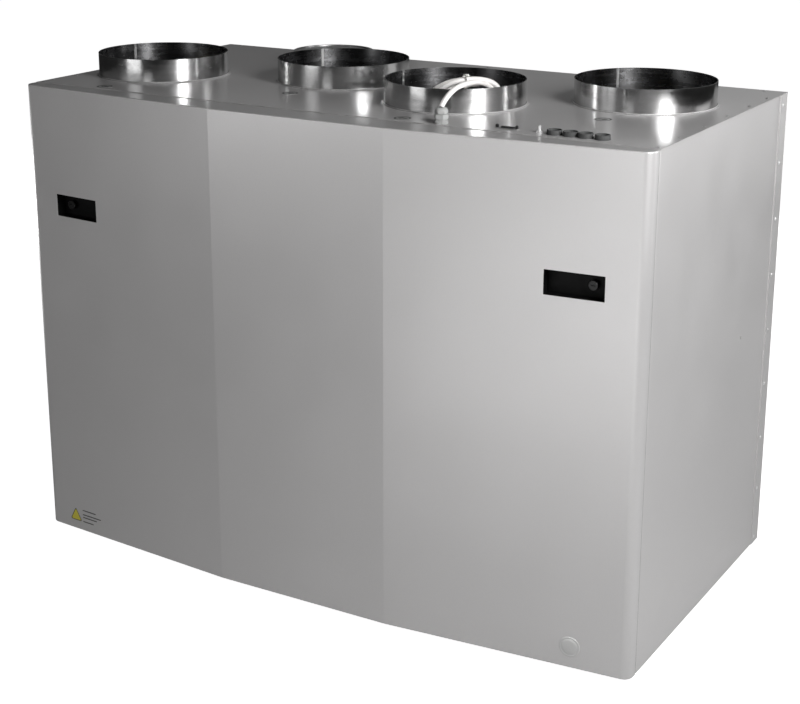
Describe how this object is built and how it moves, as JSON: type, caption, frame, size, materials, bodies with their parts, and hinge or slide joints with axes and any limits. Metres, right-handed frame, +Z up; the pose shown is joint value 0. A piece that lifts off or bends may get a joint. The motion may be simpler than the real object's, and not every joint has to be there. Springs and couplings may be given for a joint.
{
  "type": "heat recovery ventilation unit",
  "caption": "Floor-standing heat recovery ventilation unit with a bowed lift-off front, round duct spigots on its top, a rotary exchanger, fans, filters and a coiled supply cord.",
  "frame": {"origin": "centre of the unit's footprint on the floor, under its rubber feet", "axes": "+X to the right along the front, +Y from the door to the back, +Z up"},
  "size_m": [1.2626, 0.686, 0.9773],
  "materials": {
    "casing_paint": "satin powder coat, light warm grey",
    "door_paint": "satin powder coat, light warm grey",
    "zinc_sheet": "galvanised sheet",
    "spigot_steel": "glossy galvanised sheet with rolled brushing",
    "mineral_wool": "mineral wool slab",
    "rubber": "matt",
    "black_plastic": "fine moulded texture",
    "motor_steel": "satin",
    "rotor_aluminium": "fine corrugated foil",
    "rivet_steel": "satin",
    "badge_metal": "satin",
    "filter_media": "pleated non-woven",
    "heater_steel": "satin",
    "circuit_board": "solder mask",
    "gland_grey": "moulded grey",
    "grommet_grey": "moulded dark grey",
    "cord_white": "white PVC sheath"
  },
  "bodies": {
    "cabinet": {"back_insulation": "mineral_wool", "back_panel": "zinc_sheet", "base_insulation": "mineral_wool", "base_pan": "zinc_sheet", "cable_gland": "gland_grey", "cable_grommets": "grommet_grey", "casing_rivets": "rivet_steel", "control_board": "circuit_board", "cord_coil": "cord_white", "cord_plug": "cord_white", "cord_tail": "cord_white", "cord_tie": "cord_white", "drive_belt": "rubber", "electric_heater": "heater_steel", "electronics_box": "zinc_sheet", "electronics_cover": "zinc_sheet", "exhaust_air_spigot": "spigot_steel", "exhaust_fan_bulkhead": "zinc_sheet", "exhaust_fan_motor": "motor_steel", "extract_air_spigot": "spigot_steel", "extract_filter": "filter_media", "filter_rails": "zinc_sheet", "hood_spigot": "spigot_steel", "inlet_cones": "zinc_sheet", "left_side_panel": "casing_paint", "mid_shelves": "zinc_sheet", "outdoor_air_spigot": "spigot_steel", "partition_walls": "zinc_sheet", "pressure_nipple": "rivet_steel", "right_side_panel": "casing_paint", "rotor_drive_motor": "motor_steel", "rotor_shaft": "motor_steel", "rubber_feet": "rubber", "service_connector": "black_plastic", "side_insulation": "mineral_wool", "supply_air_spigot": "spigot_steel", "supply_cord": "cord_white", "supply_fan_bulkhead": "zinc_sheet", "supply_fan_motor": "motor_steel", "supply_filter": "filter_media", "top_insulation": "mineral_wool", "top_panel": "casing_paint", "wheel_cassette": "zinc_sheet"},
    "door": {"front_door_skin": "door_paint", "door_insulation": "mineral_wool", "door_liner": "zinc_sheet", "door_seal": "rubber", "left_handle_pocket": "black_plastic", "right_handle_pocket": "black_plastic", "door_badge": "badge_metal"},
    "left_latch": {"left_latch": "motor_steel"},
    "right_latch": {"right_latch": "motor_steel"},
    "hood_cap": {"hood_cap": "spigot_steel"},
    "rotor": {"rotor_rim": "rotor_aluminium", "rotor_matrix": "rotor_aluminium", "rotor_hub": "motor_steel", "rotor_bearings": "motor_steel"},
    "motor_pulley": {"motor_pulley": "motor_steel"},
    "supply_impeller": {"supply_impeller": "black_plastic"},
    "exhaust_impeller": {"exhaust_impeller": "black_plastic"}
  },
  "joints": [
    {"name": "door_pull_off", "type": "slide", "parent": "cabinet", "child": "door", "axis": [0, -1, 0], "range_m": [0, 0.35]},
    {"name": "left_latch_turn", "type": "hinge", "parent": "door", "child": "left_latch", "pos_m": [-0.537, -0.287, 0.682], "axis": [0, -1, 0], "range_deg": [0, 90]},
    {"name": "right_latch_turn", "type": "hinge", "parent": "door", "child": "right_latch", "pos_m": [0.537, -0.287, 0.682], "axis": [0, 1, 0], "range_deg": [0, 90]},
    {"name": "hood_cap_lift", "type": "slide", "parent": "cabinet", "child": "hood_cap", "axis": [0, 0, 1], "range_m": [0, 0.06]},
    {"name": "rotor_spin", "type": "hinge", "parent": "cabinet", "child": "rotor", "pos_m": [0, 0.025, 0.335], "axis": [1, 0, 0], "continuous": true},
    {"name": "motor_pulley_spin", "type": "hinge", "parent": "cabinet", "child": "motor_pulley", "pos_m": [0, -0.187, 0.547], "axis": [1, 0, 0], "continuous": true},
    {"name": "supply_fan_spin", "type": "hinge", "parent": "cabinet", "child": "supply_impeller", "pos_m": [0.2, 0.025, 0.19037], "axis": [1, 0, 0], "continuous": true},
    {"name": "exhaust_fan_spin", "type": "hinge", "parent": "cabinet", "child": "exhaust_impeller", "pos_m": [-0.2, 0.025, 0.47837], "axis": [1, 0, 0], "continuous": true}
  ],
  "couplings": [
    {"joint": "motor_pulley_spin", "follows": "rotor_spin", "ratio": 9.3835}
  ]
}
